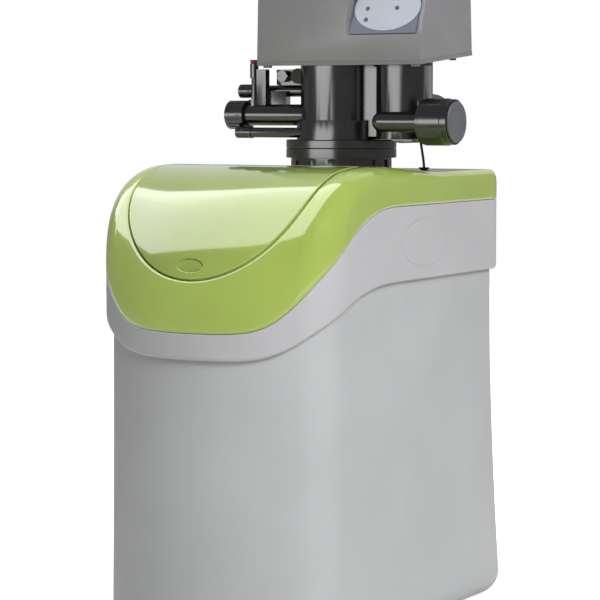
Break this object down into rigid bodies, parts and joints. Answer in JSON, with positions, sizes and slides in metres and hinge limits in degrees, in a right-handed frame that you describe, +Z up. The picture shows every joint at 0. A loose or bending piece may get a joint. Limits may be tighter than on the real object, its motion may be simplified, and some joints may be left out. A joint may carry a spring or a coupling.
{
  "type": "water softener",
  "caption": "Cabinet water softener: grey brine tank with a green lid and hinged salt hatch, resin vessel inside, and a black control valve under a grey controller.",
  "frame": {"origin": "on the floor in the middle plane, 200 mm behind the front of the rim band", "axes": "+Z up, +Y to the back, front faces -Y, +X to the right seen from the front"},
  "size_m": [0.2863, 0.429, 0.684],
  "materials": {
    "satin_grey": "satin moulded",
    "gloss_green": "gloss moulded",
    "black_plastic": "gloss moulded",
    "cover_grey": "fine grained",
    "lip_grey": "fine grained",
    "slate_film": "printed film",
    "pale_film": "printed film",
    "dark_lens": "gloss",
    "plug_grey": "satin",
    "white_plastic": "satin",
    "steel": "brushed",
    "rubber": "smooth",
    "vessel_wrap": "wound fibre",
    "resin": "fine beads",
    "red_plastic": "gloss",
    "board": "coated",
    "float_foam": "foamed"
  },
  "bodies": {
    "cabinet": {"cabinet_shell": "satin_grey", "rim_band": "satin_grey", "side_plates": "satin_grey", "lid_cover": "gloss_green", "hatch_pin": "steel", "float_rod": "steel", "drive_motor": "steel", "motor_bracket": "steel", "corner_clips": "steel", "salt_grid": "white_plastic", "brine_well": "white_plastic", "riser_tube": "white_plastic", "lower_strainer": "white_plastic", "upper_strainer": "white_plastic", "well_cap": "black_plastic", "level_switch": "black_plastic", "overflow_elbow": "black_plastic", "overflow_nut": "black_plastic", "vessel_boot": "black_plastic", "adapter_ring": "black_plastic", "clamp_ring": "black_plastic", "valve_body": "black_plastic", "inlet_union": "black_plastic", "outlet_union": "black_plastic", "injector_cap": "black_plastic", "drain_cap": "black_plastic", "refill_cap": "black_plastic", "brine_fitting": "black_plastic", "bonnet": "black_plastic", "housing_screws": "black_plastic", "resin_vessel": "vessel_wrap", "resin_bed": "resin", "neck_seal": "rubber", "riser_seal": "rubber", "cable_gland": "rubber", "lid_grommet": "rubber", "sensor_cable": "rubber", "inlet_plug": "plug_grey", "outlet_plug": "plug_grey", "pilot_disc": "plug_grey", "injector_nozzle": "red_plastic", "controller_base": "lip_grey", "controller_cover": "cover_grey", "panel_plate": "slate_film", "panel_oval": "pale_film", "status_lenses": "dark_lens", "circuit_board": "board"},
    "salt_hatch": {"salt_hatch": "gloss_green", "thumb_grip": "gloss_green"},
    "brine_float": {"brine_float": "float_foam"},
    "drive_gear": {"drive_gear": "white_plastic"},
    "motor_pinion": {"motor_pinion": "white_plastic"},
    "piston": {"piston": "white_plastic", "piston_seals": "rubber"},
    "brine_collet": {"brine_collet": "red_plastic"},
    "pilot_knob": {"pilot_knob": "black_plastic"},
    "button_left": {"button_left": "white_plastic"},
    "button_middle": {"button_middle": "white_plastic"},
    "button_right": {"button_right": "white_plastic"}
  },
  "joints": [
    {"name": "hatch_hinge", "type": "hinge", "parent": "cabinet", "child": "salt_hatch", "pos_m": [0, -0.054, 0.455], "axis": [-1, 0, 0], "range_deg": [0, 90]},
    {"name": "float_slide", "type": "slide", "parent": "cabinet", "child": "brine_float", "axis": [0, 0, 1], "range_m": [0, 0.12]},
    {"name": "gear_turn", "type": "hinge", "parent": "cabinet", "child": "drive_gear", "pos_m": [0, 0.086, 0.58], "axis": [0, 0, 1], "range_deg": [0, 1440]},
    {"name": "pinion_turn", "type": "hinge", "parent": "cabinet", "child": "motor_pinion", "pos_m": [0, 0.12135, 0.58], "axis": [0, 0, 1], "range_deg": [-5760, 0]},
    {"name": "piston_slide", "type": "slide", "parent": "cabinet", "child": "piston", "axis": [0, 0, 1], "range_m": [0, 0.024]},
    {"name": "collet_press", "type": "slide", "parent": "cabinet", "child": "brine_collet", "axis": [0, 0, -1], "range_m": [0, 0.0015]},
    {"name": "knob_turn", "type": "hinge", "parent": "cabinet", "child": "pilot_knob", "pos_m": [-0.06, 0.08, 0.5479], "axis": [0, -1, 0], "range_deg": [-90, 90]},
    {"name": "press_left", "type": "slide", "parent": "cabinet", "child": "button_left", "axis": [0, 0.9336, -0.3584], "range_m": [0, 0.001], "stiffness_N_per_m": 400, "springref_m": -0.0005},
    {"name": "press_middle", "type": "slide", "parent": "cabinet", "child": "button_middle", "axis": [0, 0.9336, -0.3584], "range_m": [0, 0.001], "stiffness_N_per_m": 400, "springref_m": -0.0005},
    {"name": "press_right", "type": "slide", "parent": "cabinet", "child": "button_right", "axis": [0, 0.9336, -0.3584], "range_m": [0, 0.001], "stiffness_N_per_m": 400, "springref_m": -0.0005}
  ],
  "couplings": [
    {"joint": "pinion_turn", "follows": "gear_turn", "ratio": -4},
    {"joint": "piston_slide", "follows": "gear_turn", "m_per_rad": 0.00095492}
  ]
}
